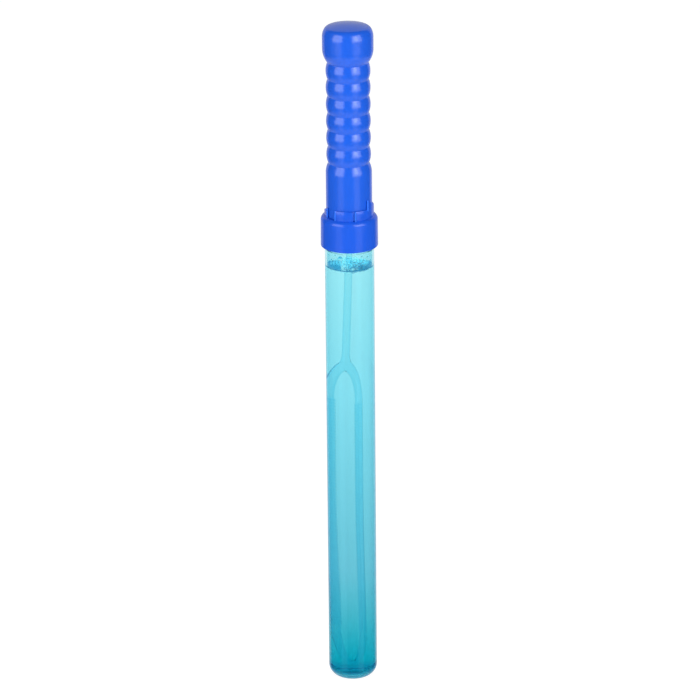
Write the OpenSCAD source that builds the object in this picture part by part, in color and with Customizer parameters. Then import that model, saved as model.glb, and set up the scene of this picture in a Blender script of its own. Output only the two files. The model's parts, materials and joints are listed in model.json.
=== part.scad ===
// Bubble wand: a long closed tube of bubble solution with a screw collar on its neck,
// and a ribbed handle whose stopper carries a long loop down into the tube.
// Millimetres. The tube stands on the origin, +Z runs up its axis, and the loop lies in XZ.

/* [Tube] */
// Outside diameter of the tube
tube_d = 27; // [25:0.1:32]
// Thickness of the tube's side wall
tube_wall = 1; // [0.8:0.1:1.4]
// Height of the tube from the floor to its shoulder
tube_h = 256.5; // [225:0.5:320]
// Thickness of the tube's floor
floor_t = 3; // [2:0.1:4]
// Radius of the rounded edge round the foot
foot_r = 6.5; // [3:0.1:8]
// Diameter of the dished recess under the foot
dish_d = 8; // [5:0.5:8.5]
// Depth of that recess
dish_h = 0.8; // [0.3:0.1:1.2]

/* [Neck] */
// Height of the neck above the shoulder
neck_h = 15.1; // [14:0.1:20]
// Step from the tube's side in to the neck
neck_step = 0.75; // [0.4:0.05:1.2]
// Thickness of the neck's wall
neck_wall = 1.35; // [1:0.05:1.6]
// Lead of the screw thread for one turn
thread_pitch = 4.2; // [3.4:0.1:4.6]
// Height of the thread's ridge
thread_depth = 1; // [0.7:0.05:1.3]
// Turns of thread on the neck
neck_turns = 1.3; // [1:0.05:1.5]
// Turns of thread in the collar
collar_turns = 1.1; // [0.8:0.05:1.3]

/* [Collar] */
// Thickness of the collar's skirt outside its thread
collar_wall = 1.6; // [1.2:0.1:2.4]
// Thickness of the plate across the collar's top
plate_t = 1.6; // [1.2:0.1:2.4]
// Radius of the collar's rounded top edge
collar_edge_r = 2.6; // [1.2:0.1:2.8]
// How far the skirt flares out on its way down
collar_flare = 0.12; // [0:0.02:0.4]
// Thickness of the seal washer
washer_t = 1.2; // [0.8:0.1:2]
// Thickness of the crown's wall
crown_wall = 0.75; // [0.6:0.05:1.2]
// Height of the crown above the plate
crown_h = 5.5; // [4:0.1:7]
// Extra height of the crown's high ramp
ramp_h = 5.1; // [2:0.1:6]
// Height at which the crown's low ramp ends
low_ramp_h = 1.4; // [0.8:0.1:4]
// Where the crown's pattern starts, as an angle about the tube
crown_turn = -108; // [-180:1:180]

/* [Handle] */
// Width of the seat round the neck's bore that the handle's plain sleeve stands on
sleeve_seat = 1.15; // [1:0.05:1.5]
// Length of the sleeve, with its shoulder
sleeve_h = 29.8; // [22:0.1:45]
// Length of the sleeve's rounded shoulder
shoulder_h = 5.6; // [3:0.1:8]
// Number of finger rings
ring_n = 6; // [3:1:10]
// Length of one finger ring
ring_pitch = 9.42; // [6:0.01:12]
// Diameter over a finger ring
ring_d = 24.2; // [23.2:0.1:27]
// Diameter in the grooves
groove_d = 22.2; // [21:0.1:23]
// Diameter of the knob
knob_d = 27.7; // [25:0.1:34]
// Height of the knob
knob_h = 21.2; // [15:0.1:30]
// Height of the knob's rounded underside
knob_under_h = 7.7; // [4:0.1:9]
// Height of the knob's rounded top
knob_top_h = 6.9; // [6.5:0.1:7.6]
// Radius of the soft curve at the foot of that top
knob_brow_r = 8; // [7:0.1:9]
// Radius of the tighter curve of its edge
knob_edge_r = 3.2; // [2.6:0.1:3.6]
// Thickness of the handle's wall
handle_wall = 1.4; // [1:0.1:2]

/* [Stopper] */
// How far the stopper stands up inside the handle
spigot_h = 9; // [6:0.5:14]
// How far the stopper reaches down below the collar's top
stopper_drop = 12.4; // [8:0.1:14]
// Thickness of the stopper's walls
stopper_wall = 1.4; // [1:0.1:2]
// Width of each sealing bead
bead_w = 1.2; // [0.8:0.1:1.6]
// Outside diameter of the boss that holds the wand
boss_d = 9; // [7.5:0.5:12]

/* [Wand] */
// Diameter of the wand's stem
stem_d = 3.1; // [2.4:0.1:4]
// Diameter of the peg at the stem's top
peg_d = 4.8; // [4.2:0.1:5.5]
// Length of that peg
peg_h = 9; // [5:0.5:9]
// Length of the loop
loop_len = 183.5; // [120:0.5:190]
// Width of the loop's rim
rim_w = 3; // [2:0.1:4]
// Thickness of the loop's rim
rim_t = 2.7; // [2:0.1:4]
// Length of the loop's curved ends
bow_h = 23; // [12:0.5:30]
// Thickness of the web at the top of the loop
web_h = 5.6; // [3:0.1:8]
// Height of the flare where the stem meets the web
fork_h = 4; // [2:0.5:8]
// Distance from one ridge on the rim to the next
ridge_pitch = 1.85; // [1.4:0.05:3]
// Width of one ridge
ridge_w = 0.9; // [0.5:0.05:1.2]
// Height of the ridges
ridge_h = 0.55; // [0.3:0.05:0.9]

/* [Fit] */
// Gap between the two threads' crests and roots
thread_gap = 0.2; // [0.15:0.01:0.3]
// Gap between the collar's lower edge and the tube's shoulder
collar_gap = 0.5; // [0.3:0.1:1]
// Gap between the handle's sleeve and the crown
crown_gap = 0.2; // [0.15:0.01:0.3]
// Gap round the stopper's beads in the neck
bead_gap = 0.1; // [0.05:0.01:0.15]
// Gap round the stopper's body in the neck
body_gap = 0.4; // [0.3:0.05:0.6]
// Gap of the pieces that are pressed together for good
press_gap = 0.04; // [0.02:0.01:0.08]
// Gap between the loop and the neck it passes through
loop_gap = 2.7; // [0.8:0.1:3.5]
// Gap between the loop's tip and the tube's floor
tip_gap = 3; // [1:0.5:6]
// Gap each side of the handle's key ribs
key_gap = 0.12; // [0.08:0.01:0.2]

/* [Hidden] */
$fn = 96;
overrun = 1;

clear_blue = [0.55, 0.88, 0.95, 0.5];
deep_blue = [0.1, 0.33, 0.9];
collar_blue = [0.14, 0.37, 0.88];
wand_blue = [0.45, 0.82, 0.93];
foam_white = [0.93, 0.94, 0.93];

// Radii and levels of the tube and its neck
tube_r = tube_d / 2;
tube_bore_r = tube_r - tube_wall;
neck_r = tube_r - neck_step;
bore_r = neck_r - neck_wall;
rim_z = tube_h + neck_h;
shoulder_cone_h = tube_bore_r - bore_r;

// Thread section, and where each thread starts
thread_base_w = 2;
thread_crest_w = 0.9;
thread_root_sink = 0.4;
thread_fade = 30;
thread_tip_share = 0.1;
thread_steps = 36;
neck_thread_rise = 6.7;
collar_thread_rise = 3.4;
neck_thread_z = tube_h + neck_thread_rise;
collar_thread_z = tube_h + collar_gap + collar_thread_rise;
thread_crest_r = neck_r + thread_depth;
collar_bore_r = thread_crest_r + thread_gap;
// The collar's ridge runs half a pitch away from the neck's ridge, along the same helix
collar_thread_turn = 360 * ((collar_thread_z - neck_thread_z) / thread_pitch + 1 / 2);

// Levels of the collar
collar_z = tube_h + collar_gap;
plate_z = rim_z + washer_t;
collar_top_z = plate_z + plate_t;
collar_r = collar_bore_r + collar_wall;
// Gap round the washer in the collar
washer_gap = 0.25;
washer_r = collar_bore_r - washer_gap;

// The crown's pattern, in degrees round from its wide recess
recess_end = 24.4;
key_start = 70.2;
key_end = 74.2;
high_ramp_start = 108.6;
high_ramp_end = 153;
low_ramp_start = 311;
low_ramp_end = 357;
turn_end = 360;
key_n = 2;
sleeve_r = bore_r + sleeve_seat;
crown_in_r = sleeve_r + crown_gap;
crown_r = crown_in_r + crown_wall;

// Handle levels, measured from the sleeve's foot
ring_r = ring_d / 2;
groove_r = groove_d / 2;
knob_r = knob_d / 2;
rings_z = sleeve_h;
knob_z = rings_z + ring_n * ring_pitch;
handle_h = knob_z + knob_h;
// How far the knob's soft curve turns, in degrees
knob_brow_deg = 30;
key_foot_h = 0.6;
key_reach_share = 3 / 4;

// Stopper radii and levels
spigot_r = sleeve_r - handle_wall - press_gap;
stopper_r = bore_r - body_gap;
bead_r = bore_r - bead_gap;
bead_n = 2;
bead_step = 3.2;
stopper_z = collar_top_z - stopper_drop;
boss_floor_h = 1.2;
socket_h = peg_h + press_gap;

// Wand levels and the loop's half width, which passes the neck's bore
tip_z = floor_t + tip_gap;
loop_top_z = tip_z + loop_len;
loop_x = sqrt(pow(bore_r - loop_gap, 2) - pow(rim_t / 2, 2));
loop_in_x = loop_x - rim_w;
bow_steps = 20;
leg_steps = 32;

// The wand hangs a little to one side: shares of the gap round the loop, at its fork and at its tip,
// and the share of the loop's length over which the one eases into the other
fork_lean_share = 0.9;
tip_lean_share = 0.2;
bend_share = 0.6;
fork_lean = loop_gap * fork_lean_share;
tip_lean = loop_gap * tip_lean_share;

// How deep the ridges are rooted in the rim
ridge_root = 0.3;
// Share of the loop's half width at which the fork's flare meets it
fork_share = 0.5;

// Straight distance across the crown's outside between two angles of its pattern
function crown_chord(start, end) = 2 * crown_r * sin((end - start) / 2);

// Radius of a dome that rises to h above the centre of the knob's edge, x off the axis, and touches it
function dome_arc(x, h) = (x * x + h * h - knob_edge_r * knob_edge_r) / (2 * (h - knob_edge_r));

// Radius of an arc that leaves the radius wide upright and reaches the radius narrow at height h
function flank_arc(wide, narrow, h) = (h * h + pow(wide - narrow, 2)) / (2 * (wide - narrow));

// Solid half outline from the axis out to such an arc
module flank(wide, narrow, h) {
    arc = flank_arc(wide, narrow, h);
    square([narrow, h]);
    intersection() {
        translate([wide - arc, 0]) circle(r = arc);
        translate([narrow / 2, 0]) square([wide, h]);
    }
}

// Helical ridge: a trapezium that runs turns times round, with faded ends.
// out is 1 for a ridge that stands outwards from r and -1 for one that stands inwards.
module thread_ridge(r, depth, turns, out) {
    last = ceil(turns * thread_steps);
    sweep_deg = turns * 360;
    function share(i) = min(1, i / last * sweep_deg / thread_fade, (last - i) / last * sweep_deg / thread_fade);
    function ridge_ring(i) =
        let (
            turn = i / last * sweep_deg,
            rise = turn / 360 * thread_pitch,
            crest = r + out * depth * max(share(i), thread_tip_share),
            root = r - out * thread_root_sink
        )
        [
            [root * cos(turn), root * sin(turn), rise - thread_base_w / 2],
            [crest * cos(turn), crest * sin(turn), rise - thread_crest_w / 2],
            [crest * cos(turn), crest * sin(turn), rise + thread_crest_w / 2],
            [root * cos(turn), root * sin(turn), rise + thread_base_w / 2]
        ];
    points = [for (i = [0 : last]) each ridge_ring(i)];
    sides = [
        for (i = [0 : last - 1], k = [0 : 3])
            let (a = 4 * i + k, b = 4 * i + (k + 1) % 4)
            each [[a, b, b + 4], [a, b + 4, a + 4]]
    ];
    ends = [[0, 3, 2], [0, 2, 1], [4 * last, 4 * last + 1, 4 * last + 2], [4 * last, 4 * last + 2, 4 * last + 3]];
    facets = concat(sides, ends);
    polyhedron(points, out > 0 ? facets : [for (f = facets) [f[0], f[2], f[1]]]);
}

// Tube with its rounded foot, dished floor, shoulder, neck and outside thread
module tube() {
    dish_r = (pow(dish_d / 2, 2) + dish_h * dish_h) / (2 * dish_h);
    foot_in_r = foot_r - tube_wall;
    color(clear_blue)
    union() {
        rotate_extrude()
        difference() {
            union() {
                translate([0, foot_r]) square([tube_r, tube_h - foot_r]);
                square([tube_r - foot_r, foot_r]);
                translate([tube_r - foot_r, foot_r]) intersection() {
                    circle(r = foot_r);
                    translate([0, -foot_r]) square([foot_r, foot_r]);
                }
                translate([0, foot_r]) square([neck_r, rim_z - foot_r]);
            }
            translate([0, floor_t + foot_in_r])
            square([tube_bore_r, tube_h - shoulder_cone_h - floor_t - foot_in_r]);
            translate([0, floor_t]) square([tube_bore_r - foot_in_r, foot_in_r]);
            translate([tube_bore_r - foot_in_r, floor_t + foot_in_r]) intersection() {
                circle(r = foot_in_r);
                translate([0, -foot_in_r]) square([foot_in_r, foot_in_r]);
            }
            polygon([
                [0, tube_h - shoulder_cone_h], [tube_bore_r, tube_h - shoulder_cone_h],
                [bore_r, tube_h], [bore_r, rim_z + overrun], [0, rim_z + overrun]
            ]);
            translate([0, dish_h - dish_r]) intersection() {
                circle(r = dish_r);
                square([dish_r, dish_r]);
            }
        }
        translate([0, 0, neck_thread_z]) thread_ridge(neck_r, thread_depth, neck_turns, 1);
    }
}

// Stretch of the crown's wall between two angles of its pattern, rooted in the collar's plate
module crown_wall_part(start, end, h) {
    root_h = plate_t / 2;
    rotate([0, 0, start])
    rotate_extrude(angle = end - start)
    translate([crown_in_r, -root_h]) square([crown_wall, root_h + h]);
}

// Cut across the crown, with its outline drawn over the chord between two angles of its pattern
module crown_chord_cut(start, end) {
    rotate([0, 0, start])
    translate([crown_r, 0, 0])
    rotate([90, 0, (end - start) / 2 + 90])
    translate([0, 0, -2 * crown_r])
    linear_extrude(3 * crown_r) children();
}

// Slotted crown that stands on the collar round the foot of the handle
module crown() {
    second_key = turn_end / key_n;
    high_chord = crown_chord(high_ramp_start, high_ramp_end);
    low_chord = crown_chord(low_ramp_start, low_ramp_end);
    low_slope = (crown_h - low_ramp_h) / low_chord;
    cut_z = crown_h + ramp_h + 2 * overrun;
    rotate([0, 0, crown_turn]) {
        crown_wall_part(recess_end, key_start, crown_h);
        difference() {
            crown_wall_part(key_end, key_start + second_key, crown_h + ramp_h + overrun);
            crown_chord_cut(high_ramp_start, high_ramp_end)
            polygon([
                [-2 * crown_r, crown_h], [0, crown_h], [0, crown_h + ramp_h], [high_chord, crown_h],
                [2 * crown_r, crown_h], [2 * crown_r, cut_z], [-2 * crown_r, cut_z]
            ]);
        }
        crown_wall_part(key_end + second_key, low_ramp_start - recess_end, crown_h);
        difference() {
            crown_wall_part(low_ramp_start, turn_end, crown_h);
            crown_chord_cut(low_ramp_start, low_ramp_end)
            polygon([
                [-crown_wall, low_ramp_h - low_slope * crown_wall],
                [2 * low_chord, crown_h + low_slope * low_chord], [2 * low_chord, cut_z], [-crown_wall, cut_z]
            ]);
        }
    }
}

// Screw collar: flared skirt with an inside thread, a bored top plate and the crown
module screw_collar() {
    color(collar_blue)
    union() {
        rotate_extrude()
        difference() {
            union() {
                polygon([
                    [bore_r, collar_z], [collar_r + collar_flare, collar_z],
                    [collar_r, collar_top_z - collar_edge_r], [bore_r, collar_top_z - collar_edge_r]
                ]);
                translate([bore_r, plate_z]) square([collar_r - collar_edge_r - bore_r, plate_t]);
                translate([collar_r - collar_edge_r, collar_top_z - collar_edge_r]) intersection() {
                    circle(r = collar_edge_r);
                    square([collar_edge_r, collar_edge_r]);
                }
            }
            translate([0, collar_z - overrun]) square([collar_bore_r, plate_z - collar_z + overrun]);
        }
        translate([0, 0, collar_thread_z])
        rotate([0, 0, collar_thread_turn])
        thread_ridge(collar_bore_r, thread_depth, collar_turns, -1);
        translate([0, 0, collar_top_z]) crown();
    }
}

// Flat seal washer between the neck's rim and the collar's plate
module seal_washer() {
    color(foam_white)
    rotate_extrude()
    translate([bore_r, rim_z]) square([washer_r - bore_r, washer_t]);
}

// Solid half outline of the handle, drawn inset from its outer face
module handle_outline(inset) {
    side_top_z = handle_h - knob_top_h;
    brow_r = knob_brow_r - inset;
    brow_h = brow_r * sin(knob_brow_deg);
    brow_x = knob_r - knob_brow_r + brow_r * cos(knob_brow_deg);
    edge_r = knob_edge_r - inset;
    edge_x = knob_r - knob_brow_r + (knob_brow_r - knob_edge_r) * cos(knob_brow_deg);
    edge_z = side_top_z + (knob_brow_r - knob_edge_r) * sin(knob_brow_deg);
    dome_r = dome_arc(edge_x, handle_h - edge_z);
    touch_x = edge_x * (dome_r - inset) / (dome_r - knob_edge_r);
    square([sleeve_r - inset, sleeve_h - shoulder_h]);
    translate([0, sleeve_h - shoulder_h]) flank(sleeve_r - inset, groove_r - inset, shoulder_h);
    for (i = [0 : ring_n - 1])
        translate([0, rings_z + (i + 1 / 2) * ring_pitch])
        for (side = [0, 1])
            mirror([0, side]) flank(ring_r - inset, groove_r - inset, ring_pitch / 2);
    translate([0, knob_z + knob_under_h])
    mirror([0, 1]) flank(knob_r - inset, groove_r - inset, knob_under_h);
    translate([0, knob_z + knob_under_h])
    square([knob_r - inset, side_top_z - knob_z - knob_under_h]);
    translate([0, side_top_z]) flank(knob_r - inset, brow_x, brow_h);
    intersection() {
        translate([edge_x, edge_z]) circle(r = edge_r);
        translate([edge_x, side_top_z + brow_h]) square([edge_r, knob_top_h]);
    }
    intersection() {
        translate([0, handle_h - dome_r]) circle(r = dome_r - inset);
        translate([0, side_top_z + brow_h]) square([touch_x, knob_top_h]);
    }
}

// Handle: one hollow moulding, open at the foot, with two key ribs for the crown's narrow slots
module handle_grip() {
    key_mid = (key_start + key_end) / 2;
    key_w = 2 * crown_in_r * sin((key_end - key_start) / 2) - 2 * key_gap;
    color(deep_blue)
    translate([0, 0, collar_top_z])
    union() {
        rotate_extrude()
        difference() {
            handle_outline(0);
            handle_outline(handle_wall);
        }
        for (i = [0 : key_n - 1])
            rotate([0, 0, crown_turn + key_mid + i * turn_end / key_n])
            translate([sleeve_r - handle_wall / 2, -key_w / 2, key_foot_h])
            cube([handle_wall / 2 + crown_gap + crown_wall * key_reach_share, key_w, crown_h - key_foot_h]);
    }
}

// Stopper: a cup pressed into the handle's foot, beaded to seal the neck, with a boss for the wand
module stopper() {
    stopper_top_z = collar_top_z + spigot_h;
    body_top_z = collar_top_z + press_gap;
    boss_top_z = stopper_z + socket_h + boss_floor_h;
    color(collar_blue)
    rotate_extrude()
    difference() {
        union() {
            translate([0, stopper_z]) square([stopper_r, body_top_z - stopper_z]);
            translate([0, collar_top_z]) square([spigot_r, spigot_h]);
            for (i = [0 : bead_n - 1])
                translate([0, stopper_z + bead_w + i * bead_step]) square([bead_r, bead_w]);
        }
        difference() {
            translate([0, stopper_z + stopper_wall])
            square([stopper_r - stopper_wall, stopper_top_z - stopper_z]);
            square([boss_d / 2, boss_top_z]);
        }
        translate([0, stopper_z - overrun]) square([peg_d / 2 + press_gap, socket_h + overrun]);
    }
}

// How far the loop's middle stands off the tube's axis, at height z
function lean(z) =
    let (share = max(0, min(1, (z - tip_z) / (loop_len * bend_share))))
    tip_lean + (fork_lean - tip_lean) * (1 - cos(180 * share)) / 2;

// Outline of a closed loop that is x wide each side of its leaning middle
function loop_outline(x, low, high) =
    let (half = concat(
        [for (i = [0 : bow_steps]) let (a = 90 * i / bow_steps) [x * sin(a), low + bow_h * (1 - cos(a))]],
        [for (i = [1 : leg_steps - 1]) [x, low + bow_h + (high - low - 2 * bow_h) * i / leg_steps]],
        [for (i = [0 : bow_steps]) let (a = 90 * i / bow_steps) [x * cos(a), high - bow_h * (1 - sin(a))]]
    ))
    concat(
        [for (p = half) [p[0] - lean(p[1]), p[1]]],
        [for (i = [len(half) - 2 : -1 : 1]) [-half[i][0] - lean(half[i][1]), half[i][1]]]
    );

// Wand: peg, stem, fork and the long ridged loop, moulded in one
module wand() {
    ridge_low = tip_z + bow_h;
    ridge_n = floor((loop_len - 2 * bow_h) / ridge_pitch);
    stem_r = stem_d / 2;
    stem_h = stopper_z - loop_top_z;
    stem_tilt = atan(fork_lean / stem_h);
    fork_x = loop_x * fork_share;
    fork_low_z = loop_top_z - bow_h * (1 - sqrt(1 - fork_share * fork_share));
    color(wand_blue)
    union() {
        translate([0, rim_t / 2, 0])
        rotate([90, 0, 0])
        linear_extrude(rim_t) {
            difference() {
                polygon(loop_outline(loop_x, tip_z, loop_top_z));
                polygon(loop_outline(loop_in_x, tip_z + rim_w, loop_top_z - web_h));
            }
            translate([-fork_lean, 0])
            polygon([
                [-fork_x, fork_low_z], [fork_x, fork_low_z],
                [stem_r + fork_h / 2, loop_top_z], [stem_r, loop_top_z + fork_h],
                [-stem_r, loop_top_z + fork_h], [-stem_r - fork_h / 2, loop_top_z]
            ]);
        }
        for (i = [0 : ridge_n - 1], side = [-1, 1])
            let (z = ridge_low + (i + 1 / 2) * ridge_pitch)
            translate([side * (loop_in_x + (ridge_root - ridge_h) / 2) - lean(z), 0, z])
            cube([ridge_h + ridge_root, rim_t, ridge_w], center = true);
        translate([0, 0, stopper_z])
        rotate([0, stem_tilt, 0])
        translate([0, 0, -stem_h / cos(stem_tilt) - stem_r])
        cylinder(h = stem_h / cos(stem_tilt) + 2 * stem_r, d = stem_d);
        translate([0, 0, stopper_z]) cylinder(h = peg_h, d = peg_d);
    }
}

tube();
screw_collar();
seal_washer();
handle_grip();
stopper();
wand();
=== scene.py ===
"""Studio scene of a bubble wand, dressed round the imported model.

The tube stands on the floor with its axis on Z, the loop of the wand lies in the XZ plane, and
the camera looks down on the piece from the front right. Sizes are named in millimetres, as a
mould maker gives them, and the meshes are made in metres.
"""

import json
import logging
import math
from dataclasses import dataclass, replace
from enum import Enum

import bpy
from mathutils import Euler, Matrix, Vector

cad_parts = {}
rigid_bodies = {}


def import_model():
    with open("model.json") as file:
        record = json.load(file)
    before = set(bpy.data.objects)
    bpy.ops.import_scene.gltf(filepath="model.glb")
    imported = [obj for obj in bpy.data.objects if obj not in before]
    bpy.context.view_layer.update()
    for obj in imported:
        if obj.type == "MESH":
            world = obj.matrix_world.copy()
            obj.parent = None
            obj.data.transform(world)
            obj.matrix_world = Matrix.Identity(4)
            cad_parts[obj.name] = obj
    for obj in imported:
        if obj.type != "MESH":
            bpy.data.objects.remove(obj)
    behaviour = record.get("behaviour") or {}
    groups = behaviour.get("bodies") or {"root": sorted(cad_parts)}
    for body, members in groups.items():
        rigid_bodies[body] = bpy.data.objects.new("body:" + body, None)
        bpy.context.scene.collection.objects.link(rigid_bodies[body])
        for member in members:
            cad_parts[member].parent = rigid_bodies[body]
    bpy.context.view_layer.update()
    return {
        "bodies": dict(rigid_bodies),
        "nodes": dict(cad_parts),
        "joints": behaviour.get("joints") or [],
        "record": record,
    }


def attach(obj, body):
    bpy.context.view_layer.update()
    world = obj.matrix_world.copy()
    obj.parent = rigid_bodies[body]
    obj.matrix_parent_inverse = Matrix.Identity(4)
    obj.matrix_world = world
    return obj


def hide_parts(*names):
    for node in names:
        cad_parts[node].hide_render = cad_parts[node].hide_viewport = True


LOG = logging.getLogger("bubble_wand")
MM = 0.001
WELD = 0.002 * MM
FULL_TURN = 2 * math.pi
LATHE_STEPS = 128
THREAD_STEPS = 64
# How many chords stand for an arc, from a small rounding to a wide bend
LIP_STEPS, EDGE_STEPS, BEAD_STEPS, BROW_STEPS = 3, 4, 6, 8
ROUND_STEPS, RING_STEPS, BEND_STEPS = 10, 12, 16
# The usual small rounding
LIP = 0.3
# How close to its ends a long stretch gets a point each, and the most that this may be of its length
BRACE = 0.35
BRACE_SHARE = 0.25
# Heights of the added rings on the tube's long wall
WALL_RINGS = (60, 120, 180, 230)
# Keeps rounding from putting a corner of the crown just before its place
HAIR_DEG = 0.01
# What the normal of a flat face has at least along the axis that it faces
FLAT = 0.99
SMOOTH_ANGLE = math.radians(32)
CAMERA_TURN = math.radians(-47)
GOLDEN_TURN = math.pi * (3 - math.sqrt(5))
BLACK = (0, 0, 0)
SKY_SHEEN = (0.3, 0.8, 1)
SKIN = "moulded_skin"

Point = tuple[float, float]
Outline = list[Point]
Table = tuple[tuple, ...]
Colour = tuple[float, float, float]
NodeTree = bpy.types.NodeTree
Node = bpy.types.Node
Socket = bpy.types.NodeSocket
Object = bpy.types.Object
# For the name or number of each input of a node, its value or a socket that is linked to it
Inputs = dict[str | int, object]


class Body(Enum):
    """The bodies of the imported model."""

    BOTTLE = "bottle"
    SEAL = "seal"
    COLLAR = "collar"
    HANDLE = "handle"


class Slot(Enum):
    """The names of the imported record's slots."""

    TUBE = "clear_tube"
    COLLAR = "matte_collar"
    HANDLE = "glossy_handle"
    WAND = "clear_wand"


# ---------------------------------------------------------------- bench tools


def ray(angle: float) -> Vector:
    """The level direction at an angle.

    Args:
        angle: The angle from X, in radians.

    Returns:
        A vector of length 1.
    """
    return Vector((math.cos(angle), math.sin(angle), 0))


def between(a: Point, b: Point, share: float) -> Point:
    """The point at a share of the way from a to b.

    Args:
        a: The first point.
        b: The second point.
        share: 0 at a and 1 at b.

    Returns:
        The point.
    """
    return (a[0] + (b[0] - a[0]) * share, a[1] + (b[1] - a[1]) * share)


def clear_bench() -> None:
    """Leaves edit mode and deselects everything."""
    if bpy.context.mode != "OBJECT":
        bpy.ops.object.mode_set(mode="OBJECT")
    bpy.ops.object.select_all(action="DESELECT")


def pick(obj: Object) -> None:
    """Makes obj the only selected and active object.

    Args:
        obj: The object to work on next.
    """
    clear_bench()
    obj.select_set(True)
    bpy.context.view_layer.objects.active = obj


def open_mesh(obj: Object) -> Object:
    """Opens obj in edit mode with its whole mesh selected.

    Args:
        obj: The object.

    Returns:
        The same object.
    """
    pick(obj)
    bpy.ops.object.mode_set(mode="EDIT")
    bpy.ops.mesh.select_all(action="SELECT")
    return obj


def turn_mesh(angle: float) -> None:
    """Turns what is selected in edit mode about Z.

    Args:
        angle: The angle, in radians.
    """
    bpy.ops.transform.rotate(value=-angle, orient_axis="Z", center_override=(0, 0, 0))


def name_piece(name: str) -> Object:
    """Names the primitive that was just added, and its mesh.

    Args:
        name: The piece's name.

    Returns:
        The named object.
    """
    obj = bpy.context.active_object
    obj.name = name
    obj.data.name = name
    return obj


def merge(name: str, parts: list[Object]) -> Object:
    """Joins parts into one piece with its own name.

    Args:
        name: The piece's name.
        parts: The parts.

    Returns:
        The joined piece.
    """
    clear_bench()
    for part in parts:
        part.select_set(True)
    bpy.context.view_layer.objects.active = parts[0]
    bpy.ops.object.join()
    obj = name_piece(name)
    obj.select_set(False)
    return obj


def arc(centre: Point, radius: float, start: float, end: float, steps: int) -> Outline:
    """Points along an arc, in degrees from the outward direction.

    Args:
        centre: Radius and height of the arc's centre.
        radius: The arc's radius.
        start: Angle of its first point.
        end: Angle of its last point.
        steps: How many chords stand for it.

    Returns:
        The arc's points.
    """
    turns = (math.radians(start + (end - start) * i / steps) for i in range(steps + 1))
    return [(centre[0] + radius * math.cos(a), centre[1] + radius * math.sin(a)) for a in turns]


def draw_line(name: str, points: list[Vector]) -> Object:
    """Draws a chain of edges from a primitive that is merged to one vertex, and leaves it in edit mode.

    Args:
        name: The piece's name.
        points: The chain's points, in metres.

    Returns:
        The new object.
    """
    clear_bench()
    bpy.ops.mesh.primitive_plane_add(size=MM, location=(0, 0, 0))
    obj = open_mesh(name_piece(name))
    bpy.ops.mesh.select_mode(type="VERT")
    bpy.ops.mesh.select_all(action="SELECT")
    bpy.ops.mesh.merge(type="CENTER")
    bpy.ops.transform.translate(value=points[0])
    for last, point in zip(points, points[1:]):
        bpy.ops.mesh.extrude_region_move(TRANSFORM_OT_translate={"value": point - last})
    return obj


def tidy_mesh() -> None:
    """Welds the mesh in edit mode and turns its faces outwards."""
    bpy.ops.mesh.select_all(action="SELECT")
    bpy.ops.mesh.remove_doubles(threshold=WELD)
    bpy.ops.mesh.normals_make_consistent(inside=False)


def shade(obj: Object, angle: float = SMOOTH_ANGLE) -> Object:
    """Shades obj smooth, except over edges sharper than angle.

    Args:
        obj: The piece.
        angle: The sharpest edge that is still shaded smooth, in radians.

    Returns:
        The same piece.
    """
    pick(obj)
    bpy.ops.object.shade_smooth_by_angle(angle=angle)
    obj.select_set(False)
    return obj


def brace(outline: Outline) -> Outline:
    """Adds a point close to each end of every long stretch, so that its shading stays even.

    Args:
        outline: The outline's points, in millimetres.

    Returns:
        The outline with the added points.
    """
    points = outline[:1]
    for a, b in zip(outline, outline[1:]):
        share = BRACE / max(BRACE, math.dist(a, b))
        if share < BRACE_SHARE:
            points += [between(a, b, share), between(a, b, 1 - share)]
        points.append(b)
    return points


def lathe(name: str, outline: Outline) -> Object:
    """Turns a half outline round the Z axis.

    Args:
        name: The piece's name.
        outline: Radius and height of its points, in millimetres.

    Returns:
        The turned piece, with its faces outwards.
    """
    obj = draw_line(name, [Vector((r, 0, z)) * MM for r, z in brace(outline)])
    bpy.ops.mesh.select_all(action="SELECT")
    bpy.ops.mesh.spin(steps=LATHE_STEPS, angle=FULL_TURN, center=(0, 0, 0), axis=(0, 0, 1))
    tidy_mesh()
    clear_bench()
    return obj


def apply_modifier(obj: Object, kind: str, **settings: object) -> None:
    """Adds one modifier to obj with the settings given, and applies it.

    Args:
        obj: The piece.
        kind: The modifier's type.
        **settings: The modifier's settings.
    """
    pick(obj)
    modifier = obj.modifiers.new(kind.lower(), kind)
    for key, value in settings.items():
        setattr(modifier, key, value)
    bpy.ops.object.modifier_apply(modifier=modifier.name)
    obj.select_set(False)


def soften(obj: Object, width: float, segments: int = 2) -> None:
    """Rounds the sharp edges of obj.

    Args:
        obj: The piece.
        width: Width of the rounding, in millimetres.
        segments: How many faces go round an edge.
    """
    apply_modifier(
        obj, "BEVEL", width=width * MM, segments=segments, limit_method="ANGLE",
        angle_limit=SMOOTH_ANGLE, use_clamp_overlap=True,
    )


def fit(obj: Object, body: Body, slot: Slot, material: bpy.types.Material, *nodes: str) -> None:
    """Dresses a finished piece and ties it to the frame.

    Args:
        obj: The piece.
        body: The body that it moves with.
        slot: The record's slot for its finish. It is not used.
        material: Its material.
        *nodes: The nodes of the frame that it stands for.
    """
    obj.data.materials.clear()
    obj.data.materials.append(material)
    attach(obj, body.value)
    if nodes:
        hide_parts(*nodes)
    LOG.info("%s rides on %s with %d faces", obj.name, body.value, len(obj.data.polygons))


# ---------------------------------------------------------------- shader tools


def linear(colour: tuple[int, int, int]) -> Colour:
    """Turns an 8-bit screen colour into a linear one.

    Args:
        colour: Red, green and blue, from 0 to 255.

    Returns:
        The linear colour.
    """
    parts = (c / 255 for c in colour)
    return tuple(c / 12.92 if c <= 0.04045 else ((c + 0.055) / 1.055) ** 2.4 for c in parts)


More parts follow.
